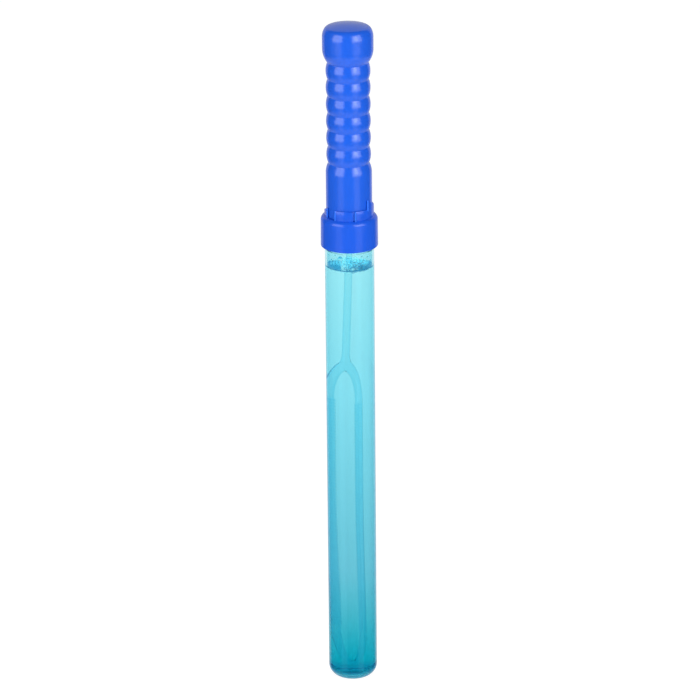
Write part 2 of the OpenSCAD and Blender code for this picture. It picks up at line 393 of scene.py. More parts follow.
def set_inputs(tree: NodeTree, node: Node, inputs: Inputs) -> None:
    """Sets a node's inputs.

    Args:
        tree: The node tree.
        node: The node.
        inputs: The values or sockets.
    """
    for key, value in inputs.items():
        socket = node.inputs[key]
        if isinstance(value, Socket):
            tree.links.new(value, socket)
        else:
            socket.default_value = (*value, 1) if socket.type == "RGBA" else value


def add_node(tree: NodeTree, kind: str, inputs: Inputs | None = None, **settings: object) -> Node:
    """Adds a node to a tree.

    Args:
        tree: The node tree.
        kind: The node's type, without ShaderNode.
        inputs: Values or sockets for its inputs.
        **settings: Attributes of the node.

    Returns:
        The new node.
    """
    node = tree.nodes.new("ShaderNode" + kind)
    for key, value in settings.items():
        setattr(node, key, value)
    set_inputs(tree, node, inputs or {})
    return node


def calc(tree: NodeTree, operation: str, *values: object) -> Socket:
    """Adds a Math node.

    Args:
        tree: The node tree.
        operation: What it works out.
        *values: Sockets or numbers that it takes.

    Returns:
        Its result.
    """
    return add_node(tree, "Math", dict(enumerate(values)), operation=operation).outputs[0]


def blend(tree: NodeTree, factor: Socket, start: object, end: object) -> Socket:
    """Mixes two colours.

    Args:
        tree: The node tree.
        factor: The share of the second one.
        start: The first colour or its socket.
        end: The second one.

    Returns:
        The mixed colour.
    """
    return add_node(tree, "Mix", {"Factor": factor, 6: start, 7: end}, data_type="RGBA").outputs[2]


def fade(tree: NodeTree, value: Socket, old: Point, new: Point, kind: str = "SMOOTHSTEP") -> Socket:
    """Maps one range of values to another.

    Args:
        tree: The node tree.
        value: The value.
        old: The ends of the range that it comes from.
        new: The ends of the range that it goes to.
        kind: How it goes from end to end.

    Returns:
        The mapped value.
    """
    inputs = dict(zip(("Value", "From Min", "From Max", "To Min", "To Max"), (value, *old, *new)))
    return add_node(tree, "MapRange", inputs, interpolation_type=kind).outputs["Result"]


def seen_share(tree: NodeTree) -> Socket:
    """Tells what the camera sees, straight or through glass, from what only lights the scene.

    Args:
        tree: The node tree.

    Returns:
        1 for what is seen and 0 for the rest.
    """
    path = add_node(tree, "LightPath").outputs
    return calc(tree, "MAXIMUM", path["Is Camera Ray"], path["Is Transmission Ray"])


def new_group(name: str, inputs: dict[str, object], outputs: list[str]) -> tuple[NodeTree, Node, Node]:
    """Makes an empty node group. A socket called Colour holds a colour, and any other a number.

    Args:
        name: The group's name.
        inputs: Names and first values of its inputs.
        outputs: Names of its outputs.

    Returns:
        The group, its input node and its output node.
    """
    group = bpy.data.node_groups.new(name, "ShaderNodeTree")
    for in_out, names in (("INPUT", inputs), ("OUTPUT", outputs)):
        for key in names:
            kind = "NodeSocketColor" if key == "Colour" else "NodeSocketFloat"
            socket = group.interface.new_socket(name=key, in_out=in_out, socket_type=kind)
            if in_out == "INPUT":
                socket.default_value = inputs[key]
    return group, group.nodes.new("NodeGroupInput"), group.nodes.new("NodeGroupOutput")


def moulded_skin_group() -> NodeTree:
    """Builds the group for the skin of moulded plastic: faint flow marks and a fine grain.

    Returns:
        The node group.
    """
    group, source, out = new_group(SKIN, {
        "Colour": (1, 1, 1, 1), "Shade": 0.06, "Roughness": 0.3, "Roughness Spread": 0.05,
        "Flow Scale": 60.0, "Grain Scale": 2500.0, "Grain Share": 0.3,
    }, ["Colour", "Roughness", "Height"])
    given = source.outputs
    place = {"Vector": add_node(group, "TexCoord").outputs["Object"]}
    flow, grain = (
        add_node(group, "TexNoise", {**place, "Scale": given[key], "Detail": detail}).outputs["Fac"]
        for key, detail in (("Flow Scale", 2), ("Grain Scale", 1))
    )
    dark = add_node(group, "HueSaturation", {"Value": 0.8, "Color": given["Colour"]}).outputs["Color"]
    share = calc(group, "MULTIPLY", flow, given["Shade"])
    set_inputs(group, out, {
        "Colour": blend(group, share, given["Colour"], dark),
        "Roughness": calc(group, "MULTIPLY_ADD", flow, given["Roughness Spread"], given["Roughness"]),
        "Height": calc(group, "MULTIPLY_ADD", grain, given["Grain Share"], flow),
    })
    return group


def height_tint_group(name: str, stops: list[tuple[float, Colour]], top: float) -> NodeTree:
    """Builds a group that tints a clear piece by height, as the depth of its colour changes.

    Args:
        name: The group's name.
        stops: Height in millimetres and linear colour, from the foot up.
        top: The height of the last stop, in millimetres.

    Returns:
        The node group.
    """
    group, _, out = new_group(name, {}, ["Colour"])
    place = add_node(group, "TexCoord").outputs["Object"]
    height = add_node(group, "SeparateXYZ", {0: place}).outputs["Z"]
    ramp = add_node(group, "ValToRGB", {"Fac": calc(group, "DIVIDE", height, top * MM)})
    marks = ramp.color_ramp.elements
    while len(marks) < len(stops):
        marks.new(1)
    for mark, (z, colour) in zip(marks, stops):
        mark.position = z / top
        mark.color = (*colour, 1)
    set_inputs(group, out, {"Colour": ramp.outputs["Color"]})
    return group


def painted_ridge_shade_group(name: str, plain: Colour, deep: Colour, pitch: float, ends: Point) -> NodeTree:
    """Builds a group that paints darker bands on a clear piece at the heights of its ridges. This is
    painted shade, standing in for how the ridges show through the liquid.

    It does so on the faces towards -Y only, so that the ridges are still told apart through the piece.

    Args:
        name: The group's name.
        plain: Linear colour between the ridges.
        deep: Linear colour of the painted shade in the ridges.
        pitch: Their pitch, in millimetres.
        ends: The heights at which they start and end.

    Returns:
        The node group.
    """
    group, _, out = new_group(name, {}, ["Colour"])
    place = add_node(group, "TexCoord").outputs
    height = add_node(group, "SeparateXYZ", {0: place["Object"]}).outputs["Z"]
    facing = add_node(group, "SeparateXYZ", {0: place["Normal"]}).outputs["Y"]
    low, high = (end * MM for end in ends)
    pitches = calc(group, "DIVIDE", calc(group, "SUBTRACT", height, low), pitch * MM)
    off_middle = calc(group, "ABSOLUTE", calc(group, "SUBTRACT", calc(group, "FRACT", pitches), 0.5))
    share = fade(group, off_middle, (0.2, 0.3), (1, 0))
    for value, side, limit in (
        (height, "GREATER_THAN", low), (height, "LESS_THAN", high), (facing, "LESS_THAN", -0.5),
    ):
        share = calc(group, "MULTIPLY", share, calc(group, side, value, limit))
    set_inputs(group, out, {"Colour": blend(group, share, plain, deep)})
    return group


def new_material(name: str) -> tuple[bpy.types.Material, NodeTree, Node]:
    """Makes a material.

    Args:
        name: The material's name.

    Returns:
        The material, its node tree and its Principled BSDF.
    """
    made = bpy.data.materials.new(name)
    made.use_nodes = True
    return made, made.node_tree, made.node_tree.nodes["Principled BSDF"]


def add_skin(tree: NodeTree, shader: Node, marks: Inputs, strength: float, depth: float) -> Node:
    """Adds the skin of moulded plastic to a material, with its relief.

    Args:
        tree: The material's node tree.
        shader: Its Principled BSDF.
        marks: What the skin's group is given.
        strength: The relief's strength.
        depth: The relief's depth, in millimetres.

    Returns:
        The skin's node.
    """
    group = bpy.data.node_groups.get(SKIN) or moulded_skin_group()
    skin = add_node(tree, "Group", marks, node_tree=group)
    relief = {"Strength": strength, "Distance": depth * MM, "Height": skin.outputs["Height"]}
    set_inputs(tree, shader, {"Normal": add_node(tree, "Bump", relief).outputs["Normal"]})
    return skin


@dataclass(frozen=True)
class PlasticFinish:
    """Solid-coloured moulded plastic."""

    name: str
    colour: Colour
    roughness: float
    roughness_spread: float = 0.05
    specular: float = 0.5
    shade: float = 0.15
    flow_scale: float = 60
    grain_scale: float = 2500
    grain_share: float = 0.3
    bump: float = 0.02
    bump_depth: float = 0.1

    def material(self) -> bpy.types.Material:
        """Builds the material.

        Returns:
            The material.
        """
        made, tree, shader = new_material(self.name)
        skin = add_skin(tree, shader, {
            "Colour": self.colour, "Shade": self.shade, "Roughness": self.roughness,
            "Roughness Spread": self.roughness_spread, "Flow Scale": self.flow_scale,
            "Grain Scale": self.grain_scale, "Grain Share": self.grain_share,
        }, self.bump, self.bump_depth).outputs
        set_inputs(tree, shader, {
            "Base Color": skin["Colour"], "Roughness": skin["Roughness"],
            "Specular IOR Level": self.specular,
        })
        return made


@dataclass(frozen=True)
class ClearFinish:
    """See-through plastic or liquid, tinted by one colour or by a group."""

    name: str
    ior: float
    colour: Colour = (1, 1, 1)
    roughness: float = 0.0
    bump: float = 0.0
    bump_depth: float = 0.1
    flow_scale: float = 40
    # Colour where the surface is seen at a slant
    rim: Colour | None = None
    rim_blend: float = 0.4
    # Colour of its reflections
    sheen: Colour = (1, 1, 1)
    # Painted light: past glow_depth surfaces the piece lets no more light through and gives off this
    # colour instead, standing in for the light that long paths through it lose
    glow: Colour | None = None
    glow_depth: int = 8
    # Painted light: light that the surface gives off, standing in for the light that froth scatters
    painted_light: Colour | None = None

    def material(self, tint: NodeTree | None = None) -> bpy.types.Material:
        """Builds the material.

        Args:
            tint: The group that gives the colour, if there is one.

        Returns:
            The material.
        """
        made, tree, shader = new_material(self.name)
        colour = add_node(tree, "Group", node_tree=tint).outputs["Colour"] if tint else self.colour
        # What the surface gives off is painted light
        light = self.painted_light
        if self.rim:
            facing = add_node(tree, "LayerWeight", {"Blend": self.rim_blend}).outputs["Facing"]
            colour = blend(tree, facing, colour, self.rim)
        # Painted light: past glow_depth surfaces the colour turns black and the surface glows instead
        if self.glow:
            depth = add_node(tree, "LightPath").outputs["Transmission Depth"]
            deep = calc(tree, "GREATER_THAN", depth, self.glow_depth)
            colour, light = blend(tree, deep, colour, BLACK), blend(tree, deep, BLACK, self.glow)
        set_inputs(tree, shader, {
            "Transmission Weight": 1, "IOR": self.ior, "Roughness": self.roughness,
            "Base Color": colour, "Specular Tint": self.sheen,
        })
        if light:
            set_inputs(tree, shader, {"Emission Color": light, "Emission Strength": 1})
        if self.bump:
            marks = {"Flow Scale": self.flow_scale, "Grain Share": 0}
            add_skin(tree, shader, marks, self.bump, self.bump_depth)
        return made


# ---------------------------------------------------------------- the pieces


@dataclass
class Tube:
    """The closed tube with its rounded foot, shoulder, neck and thread."""

    radius: float = 13.5
    wall: float = 1.0
    height: float = 256.5
    floor: float = 3.0
    foot_r: float = 6.5
    dish_r: float = 4.0
    dish_h: float = 0.8
    edge_r: float = 0.4
    neck_r: float = 12.75
    neck_h: float = 15.1
    bore_r: float = 11.4
    # Corners of the thread's section: how far each stands out from the wall, and its level
    thread_section: Table = ((-0.2, -1), (0.75, -0.5), (1, -0.3), (1, 0.3), (0.75, 0.5), (-0.2, 1))
    thread_pitch: float = 4.2
    thread_turns: float = 1.3
    thread_rise: float = 6.7
    # Height and screen colour of the blue, which pales from the foot up
    depths: Table = (
        (0, (0, 66, 122)), (5, (0, 157, 180)), (34, (62, 180, 200)), (62, (102, 194, 215)),
        (170, (134, 226, 243)), (256, (160, 240, 250)),
    )
    # Light behind the tube, which shows that colour once it has passed two walls
    clear_share: float = 1.05

    @property
    def inner_r(self) -> float:
        """Radius of the wall's inside."""
        return self.radius - self.wall

    def outline(self) -> Outline:
        """The outline of the tube's wall, from the dish round to the inner floor.

        Returns:
            Radius and height of its points, in millimetres.
        """
        dish_arc_r = (self.dish_r ** 2 + self.dish_h ** 2) / (2 * self.dish_h)
        dish_deg = math.degrees(math.asin(self.dish_r / dish_arc_r))
        inner_r, bend_r = self.inner_r, self.foot_r - self.wall
        rim_z = self.height + self.neck_h
        cone = inner_r - self.bore_r
        points = arc((0, self.dish_h - dish_arc_r), dish_arc_r, 90, 90 - dish_deg, BEAD_STEPS)
        points += arc((self.radius - self.foot_r, self.foot_r), self.foot_r, -90, 0, BEND_STEPS)
        points += [(self.radius, z) for z in WALL_RINGS]
        edge_r = self.edge_r
        points += arc((self.radius - edge_r, self.height - edge_r), edge_r, 0, 90, EDGE_STEPS)
        points += [(self.neck_r, self.height), (self.neck_r, rim_z - LIP)]
        points += arc((self.neck_r - LIP, rim_z - LIP), LIP, 0, 90, LIP_STEPS)
        points += arc((self.bore_r + LIP, rim_z - LIP), LIP, 90, 180, LIP_STEPS)
        points += [(self.bore_r, self.height + LIP), (self.bore_r + cone / 2, self.height - cone / 2)]
        points += [(inner_r, self.height - cone - LIP)]
        points += [(inner_r, z) for z in WALL_RINGS[::-1]]
        points += arc((inner_r - bend_r, self.floor + bend_r), bend_r, 0, -90, BEND_STEPS)
        return [*points, (0, self.floor)]

    def tint(self) -> NodeTree:
        """Builds the group that tints the wall by height.

        Returns:
            The node group.
        """
        stops = [
            (z, tuple(math.sqrt(min(1, c / self.clear_share)) for c in linear(colour)))
            for z, colour in self.depths
        ]
        return height_tint_group("tube_depth", stops, self.depths[-1][0])

    def thread(
        self, name: str, wall_r: float, out: int, turns: float, low: float, start: float,
    ) -> Object:
        """Makes the ridge of a screw thread.

        Args:
            name: The piece's name.
            wall_r: Radius of the wall that it stands on.
            out: 1 for a ridge outside the wall and -1 for one inside it.
            turns: How many turns it makes.
            low: Height at which it starts, in millimetres.
            start: Angle at which it starts, in degrees.

        Returns:
            The ridge.
        """
        section = [(wall_r + out * reach, low + level) for reach, level in self.thread_section]
        obj = draw_line(name, [Vector((r, 0, z)) * MM for r, z in section])
        bpy.ops.mesh.select_all(action="SELECT")
        bpy.ops.mesh.edge_face_add()
        clear_bench()
        steps, rise = int(THREAD_STEPS * turns), self.thread_pitch * turns
        apply_modifier(
            obj, "SCREW", axis="Z", angle=FULL_TURN * turns, screw_offset=rise * MM,
            steps=steps, render_steps=steps, use_normal_calculate=True,
        )
        open_mesh(obj)
        tidy_mesh()
        turn_mesh(math.radians(start))
        return shade(obj)

    def build(self) -> None:
        """Makes the tube and its thread."""
        finish = ClearFinish(
            "clear_tube", ior=1.49, bump=0.03, bump_depth=0.4, flow_scale=25,
            rim=linear((128, 214, 233)), rim_blend=0.2, sheen=SKY_SHEEN,
        )
        material = finish.material(self.tint())
        fit(shade(lathe("tube_shell", self.outline())), Body.BOTTLE, Slot.TUBE, material, "tube")
        low = self.height + self.thread_rise
        thread = self.thread("tube_thread", self.neck_r, 1, self.thread_turns, low, 0)
        fit(thread, Body.BOTTLE, Slot.TUBE, material)


@dataclass
class Solution:
    """The bubble solution in the tube, with its curved surface and its froth.

    It reaches a hair into the wall, because plastic and liquid touch with no air between them.
    """

    tube: Tube
    level: float = 245.0
    wet: float = 0.03
    # The rim that climbs the wall: height, the width in which it sinks to a third, and full width
    climb: float = 1.0
    climb_width: float = 0.7
    climb_reach: float = 2.8
    inner_rings: tuple[float, ...] = (6, 3, 0)
    # Bubbles: right of the axis, towards the camera, above the level, and radius, in millimetres
    bubbles: Table = (
        (1.6, 8.2, 0.2, 1.7), (4.9, 8.0, 0.5, 1.4), (7.6, 6.0, 0.6, 1.4), (4.2, 5.2, 0.8, 1.3),
        (6.9, 8.2, 0.3, 0.9), (2.6, 2.6, 0.7, 1.2), (5.6, 2.4, 0.8, 1.4), (-1.0, 9.0, 0.2, 0.9),
        (8.8, 3.4, 0.6, 1.0), (0.2, 5.2, 0.5, 1.1), (3.3, 10.2, 0.2, 0.8), (-2.4, 6.6, 0.4, 0.8),
        (3.6, -0.6, 0.7, 1.1), (1.0, -3.0, 0.6, 0.9), (7.0, -0.4, 0.6, 1.0), (5.2, 5.6, 2.2, 1.0),
        (2.8, 6.4, 1.9, 0.8),
    )
    # Radii of the small bubbles that cling to the wall in front, from left to right
    fringe: tuple[float, ...] = (
        0.45, 0.6, 0.5, 0.75, 0.4, 0.65, 0.5, 0.8, 0.55, 0.7, 0.45, 0.6, 0.85, 0.5, 0.7, 0.9, 0.6, 0.75,
        0.5, 0.65, 0.45,
    )
    fringe_deg: float = 78
    fringe_z: float = 0.6
    # The layer of smaller bubbles: their number, its gap to the wall, its edge in front, their least
    # and their added radius, a step that spreads the sizes, and how far they stand out
    scum_n: int = 130
    scum_gap: float = 1.0
    scum_front: float = 6.5
    scum_slope: float = 0.8
    scum_r: float = 0.5
    scum_spread: float = 0.6
    scum_step: float = 0.618
    scum_lift: float = 0.4
    # Drops on the inside of the wall: angle right of the camera in degrees, height and radius
    drops: Table = (
        (-24, 252.6, 1.4), (-50, 250.9, 0.6), (50, 252.4, 0.7), (12, 250.4, 0.8), (-12, 249.6, 0.6),
        (31, 253.4, 0.6), (-38, 254.0, 0.5), (-4, 253.0, 0.6), (24, 249.4, 0.9), (38, 250.6, 0.7),
        (-62, 252.8, 0.7), (62, 249.8, 0.6),
    )
    drop_flat: float = 0.4
    drop_sink: float = 0.25

    def outline(self) -> Outline:
        """The outline of the liquid, from its bottom round to the middle of its surface.

        Returns:
            Radius and height of its points, in millimetres.
        """
        tube = self.tube
        inner_r = tube.inner_r + self.wet
        foot_r = tube.foot_r - tube.wall
        low = tube.floor - self.wet
        points = [(0, low)] + arc((inner_r - foot_r, low + foot_r), foot_r, -90, 0, BEND_STEPS)
        points += [(inner_r, z) for z in WALL_RINGS]
        for i in range(RING_STEPS + 1):
            inward = self.climb_reach * (i / RING_STEPS) ** 2
            climb = self.climb * math.exp(-inward / self.climb_width)
            points.append((inner_r - inward, self.level + climb))
        return points + [(r, self.level) for r in self.inner_rings]

    def blob(
        self, name: str, turn: float, reach: float, z: float, radius: float, flat: float = 1,
    ) -> Object:
        """Makes one round bubble or one drop that is flat against the wall.

        Args:
            name: The piece's name.
            turn: Its direction right of the camera, in radians.
            reach: Its distance from the axis, in millimetres.
            z: Its height.
            radius: Its radius.
            flat: Its thickness as a share of its width.

        Returns:
            The blob.
        """
        turn += CAMERA_TURN
        clear_bench()
        bpy.ops.mesh.primitive_ico_sphere_add(subdivisions=3, radius=radius * MM, location=(0, 0, 0))
        obj = open_mesh(name_piece(name))
        if flat != 1:
            bpy.ops.transform.resize(value=(flat, 1, 1))
            turn_mesh(turn)
        bpy.ops.transform.translate(value=(ray(turn) * reach + Vector((0, 0, z))) * MM)
        return shade(obj, math.pi)

    def build(self) -> None:
        """Makes the liquid, its froth and the drops above it."""
        wall_r, level = self.tube.inner_r, self.level
        liquid = shade(lathe("bubble_solution", self.outline()))
        froth = [
            self.blob("froth", math.atan2(x, y), math.hypot(x, y), level + z, r)
            for x, y, z, r in self.bubbles
        ]
        for i, r in enumerate(self.fringe):
            turn = math.radians(self.fringe_deg * ((i + 0.5) / len(self.fringe) * 2 - 1))
            froth.append(self.blob("froth", turn, wall_r - r, level + self.fringe_z, r))
        scum = []
        for i in range(self.scum_n):
            turn, reach = i * GOLDEN_TURN, (wall_r - self.scum_gap) * math.sqrt((i + 0.5) / self.scum_n)
            side = abs(reach * math.sin(turn))
            if reach * math.cos(turn) < self.scum_front - self.scum_slope * side:
                r = self.scum_r + self.scum_spread * (i * self.scum_step % 1)
                scum.append(self.blob("scum", turn, reach, level + self.scum_lift * r, r))
        drops = [
            self.blob("drops", math.radians(degrees), wall_r - self.drop_sink * r, z, r, self.drop_flat)
            for degrees, z, r in self.drops
        ]
        for obj, finish in (
            # The solution glows with painted light where light has passed many surfaces
            (liquid, ClearFinish(
                "bubble_solution", ior=1.33, colour=(0.985, 0.997, 1), sheen=SKY_SHEEN,
                glow=linear((0, 178, 222)),
            )),
            # The scum gives off painted light, and its dark rim is painted shade
            (merge("scum", scum), ClearFinish(
                "scum_film", ior=0.97, colour=(0.9, 0.98, 1), rim=(0.1, 0.5, 0.7), rim_blend=0.45,
                painted_light=(0.045, 0.108, 0.095),
            )),
            # The froth's dark rim is painted shade
            (merge("froth", froth), ClearFinish(
                "froth_film", ior=0.94, rim=(0.0, 0.12, 0.3), rim_blend=0.55,
            )),
            # The drops' dark rim is painted shade
            (merge("drops", drops), ClearFinish(
                "drop", ior=1.2, colour=(0.9, 1, 1), rim=(0.15, 0.6, 0.8),
            )),
        ):
            fit(obj, Body.BOTTLE, Slot.TUBE, finish.material())


@dataclass
class ScrewCollar:
    """The satin screw collar with its inside thread and the slotted crown on its top."""

    tube: Tube
    radius: float = 15.55
    flare: float = 0.12
    low: float = 257.0
    plate_z: float = 272.8
    top: float = 274.4
    edge_r: float = 2.6
    bore_r: float = 11.4
    thread_r: float = 13.95
    thread_turns: float = 1.1
    thread_rise: float = 3.4
    crown_r: float = 12.75
    crown_wall: float = 0.75
    crown_h: float = 5.5
    crown_root: float = 0.5
    crown_edge: float = 0.26
    crown_turn: float = -108.0
    high_h: float = 5.1
    low_h: float = 1.4
    step_deg: float = 2.0
    bead_r: float = 0.45
    bead_proud: float = 0.3
    bead_lap: float = 1.0

    def outline(self) -> Outline:
        """The outline of the collar's skirt and plate.

        Returns:
            Radius and height of its points, in millimetres.
        """
        points = arc((self.radius + self.flare - LIP, self.low + LIP), LIP, -90, 0, EDGE_STEPS)
        edge_r = self.edge_r
        points += arc((self.radius - edge_r, self.top - edge_r), edge_r, 0, 90, ROUND_STEPS)
        points += [(self.bore_r + LIP, self.top), (self.bore_r, self.top - LIP)]
        points += [(self.bore_r, self.plate_z), (self.thread_r, self.plate_z)]
        return [*points, (self.thread_r, self.low), points[0]]

    def crown_part(self, name: str, start: float, end: float, heights: Outline) -> Object:
        """Makes one stretch of the crown's wall.

        Args:
            name: The piece's name.
            start: Angle of its pattern at which it starts, in degrees.
            end: Angle at which it ends.
            heights: Angle and height of the corners of its top edge.

        Returns:
            The stretch, rooted in the plate.
        """
        inner, outer = self.crown_r, self.crown_r + self.crown_wall
        root, crest = self.top - self.crown_root, self.top + self.crown_h
        turn = math.radians(self.crown_turn + start)
        ring = [(inner, root), (outer, root), (outer, crest), (inner, crest), (inner, root)]
        east, north = math.cos(turn), math.sin(turn)
        obj = draw_line(name, [Vector((r * east, r * north, z)) * MM for r, z in ring])
        bpy.ops.mesh.select_all(action="SELECT")
        bpy.ops.mesh.remove_doubles(threshold=WELD)
        steps, width = max(2, round((end - start) / self.step_deg)), math.radians(end - start)
        bpy.ops.mesh.spin(steps=steps, angle=-width, center=(0, 0, 0), axis=(0, 0, 1))
        bpy.ops.mesh.select_all(action="DESELECT")
        bpy.ops.mesh.select_non_manifold()
        bpy.ops.mesh.edge_face_add()
        tidy_mesh()
        clear_bench()
        for vertex in obj.data.vertices:
            if vertex.co.z > (self.top + self.crown_h / 2) * MM:
                angle = math.degrees(math.atan2(vertex.co.y, vertex.co.x)) - self.crown_turn + HAIR_DEG
                vertex.co.z = (self.top + self.height_at(angle % 360, heights)) * MM
        soften(obj, self.crown_edge)
        return shade(obj)

    def bead(self, degrees: float, low: float, high: float) -> Object:
        """Makes one upright bead that stiffens an end of the crown's wall.

        Args:
            degrees: Its place in the crown's pattern.
            low: The level of its foot above the plate, in millimetres.
            high: The level of its rounded top.

        Returns:
            The bead.
        """
        foot, tip = self.top + low, self.top + high - self.bead_r
        top = arc((0, tip), self.bead_r, 0, 90, BEAD_STEPS)
        obj = lathe("crown_bead", [(0, foot), (self.bead_r, foot), *top])
        reach = self.crown_r + self.crown_wall + self.bead_proud - self.bead_r
        open_mesh(obj)
        bpy.ops.transform.translate(value=ray(math.radians(self.crown_turn + degrees)) * reach * MM)
        clear_bench()
        return obj

    def height_at(self, angle: float, heights: Outline) -> float:
        """The height of the crown's top edge at an angle of its pattern.

        Args:
            angle: The angle, in degrees.
            heights: Angle and height of the corners of its top edge.

        Returns:
            The height above the plate, in millimetres.
        """
        for a, b in zip(heights, heights[1:]):
            if a[0] <= angle <= b[0]:
                return between(a, b, (angle - a[0]) / (b[0] - a[0]))[1]
        return self.crown_h

    def build(self) -> None:
        """Makes the collar, its thread and its crown."""
        finish = PlasticFinish(
            "satin_collar", colour=linear((22, 88, 218)), roughness=0.17, roughness_spread=0.08,
            bump=0.16, flow_scale=140, grain_scale=4200,
        )
        material = finish.material()
        skirt = shade(lathe("collar_skirt", self.outline()))
        fit(skirt, Body.COLLAR, Slot.COLLAR, material, "screw_collar")
        tube = self.tube
        low = self.low + self.thread_rise
        start = 360 * ((low - tube.height - tube.thread_rise) / tube.thread_pitch + 0.5)
        thread = tube.thread("collar_thread", self.thread_r, -1, self.thread_turns, low, start)
        fit(thread, Body.COLLAR, Slot.COLLAR, material)
        root, even, high = -self.crown_root, self.crown_h, self.crown_h + self.high_h
        for name, first, last, heights in (
            ("crown_tab_front", 24.4, 70.2, []),
            ("crown_ramp_high", 74.2, 250.2, [(108.6, high), (153, even)]),
            ("crown_tab_back", 254.2, 286.6, []),
            ("crown_ramp_low", 311, 360, [(310, self.low_h), (357, even)]),
        ):
            fit(self.crown_part(name, first, last, heights), Body.COLLAR, Slot.COLLAR, material)
        beads = merge("crown_beads", [self.bead(*end) for end in (
            (26.2, root, even), (76.0, root, even), (110.2, even - self.bead_lap, high),
            (256.0, root, even), (358.2, root, even),
        )])
        # The beads are a lighter blue: a painted highlight along the ends of the crown's wall
        painted_highlight_finish = replace(finish, name="painted_highlight_bead", colour=linear((44, 115, 240)))
        fit(shade(beads), Body.COLLAR, Slot.COLLAR, painted_highlight_finish.material())


